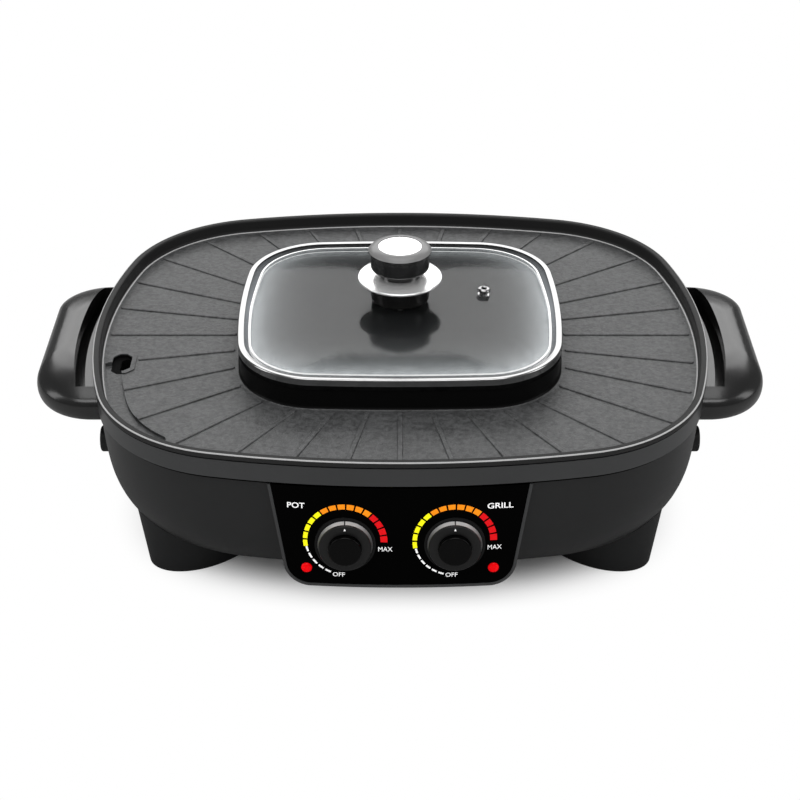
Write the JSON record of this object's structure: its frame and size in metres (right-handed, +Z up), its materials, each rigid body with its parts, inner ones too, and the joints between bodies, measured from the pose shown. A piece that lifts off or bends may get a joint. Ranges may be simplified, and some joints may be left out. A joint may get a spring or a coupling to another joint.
{
  "type": "electric hot pot with grill pan",
  "caption": "Electric table cooker: a lidded hot pot set in the middle of a ribbed grill pan, on a moulded base with two heat dials, side handles and stub feet.",
  "frame": {"origin": "on the table, under the middle of the whole object", "axes": "+Z up, -Y towards the user on the side of the control panel, +X to the user's right along the long side between the handles"},
  "size_m": [0.496, 0.3762, 0.1851],
  "materials": {
    "grill_pan": "die-cast aluminium with a satin black non-stick coat",
    "inner_pot": "black non-stick coat",
    "drip_cup": "plain formed sheet",
    "lid_glass": "clear tempered glass",
    "lid_rim": "polished steel band",
    "vent_grommet": "polished eyelet",
    "knob_foot": "glossy black",
    "knob_flange": "polished",
    "knob_body": "glossy black",
    "knob_ring": "dark grey satin",
    "knob_disc": "spun bright disc",
    "upper_band": "satin black",
    "lower_shell": "satin black",
    "bottom_cover": "black, fine texture",
    "handle": "glossy black",
    "foot": "satin black",
    "foot_pad": "matt black",
    "control_housing": "fine matt texture",
    "control_panel": "high-gloss black with printed scales",
    "dial": "satin black",
    "dial_cap": "glossy black",
    "lamp": "translucent red",
    "steel": "plain",
    "heater": "heat-tinted sheath",
    "shield": "plain sheet",
    "ceramic": "unglazed",
    "wire": "fibre-glass sleeved",
    "brass": "plain",
    "inner_plastic": "plain"
  },
  "bodies": {
    "base": {"upper_band": "upper_band", "lower_shell": "lower_shell", "bottom_cover": "bottom_cover", "control_housing": "control_housing", "control_panel": "control_panel", "body_screws": "steel", "cover_screws": "steel", "handle_screws": "steel", "foot_screws": "steel", "handle_left": "handle", "handle_right": "handle", "foot_front_left": "foot", "foot_pad_front_left": "foot_pad", "foot_front_right": "foot", "foot_pad_front_right": "foot_pad", "foot_rear_left": "foot", "foot_pad_rear_left": "foot_pad", "foot_rear_right": "foot", "foot_pad_rear_right": "foot_pad", "thermostat_pot": "ceramic", "lamp_pot": "lamp", "thermostat_grill": "ceramic", "lamp_grill": "lamp", "lamp_holders": "inner_plastic", "side_plug_left": "foot", "side_plug_right": "foot", "power_inlet": "inner_plastic", "inlet_pins": "brass", "grill_heater": "heater", "pot_heater": "heater", "thermal_fuse": "heater", "grill_heater_clamps": "steel", "pot_heater_clamps": "steel", "heat_shield": "shield", "shield_spacers": "ceramic", "terminal_block": "ceramic", "internal_wiring": "wire"},
    "pan": {"grill_pan": "grill_pan", "drip_cup": "drip_cup"},
    "pot": {"inner_pot": "inner_pot"},
    "lid": {"lid_glass": "lid_glass", "lid_rim": "lid_rim", "vent_grommet": "vent_grommet", "knob_foot": "knob_foot", "knob_flange": "knob_flange", "knob_body": "knob_body", "knob_ring": "knob_ring", "knob_disc": "knob_disc", "knob_washer": "steel", "knob_screw": "steel"},
    "pot_dial": {"dial_pot": "dial", "dial_cap_pot": "dial_cap", "shaft_pot": "steel"},
    "grill_dial": {"dial_grill": "dial", "dial_cap_grill": "dial_cap", "shaft_grill": "steel"}
  },
  "joints": [
    {"name": "pan_lift", "type": "slide", "parent": "base", "child": "pan", "axis": [0, 0, 1], "range_m": [0, 0.1]},
    {"name": "pot_lift", "type": "slide", "parent": "pan", "child": "pot", "axis": [0, 0, 1], "range_m": [0, 0.1]},
    {"name": "lid_lift", "type": "slide", "parent": "pot", "child": "lid", "axis": [0, 0, 1], "range_m": [0, 0.1]},
    {"name": "pot_dial_turn", "type": "hinge", "parent": "base", "child": "pot_dial", "pos_m": [-0.0347, -0.17833, 0.06478], "axis": [0, -0.9983, 0.0576], "range_deg": [-92, 170]},
    {"name": "grill_dial_turn", "type": "hinge", "parent": "base", "child": "grill_dial", "pos_m": [0.0347, -0.17833, 0.06478], "axis": [0, -0.9983, 0.0576], "range_deg": [-92, 170]}
  ]
}
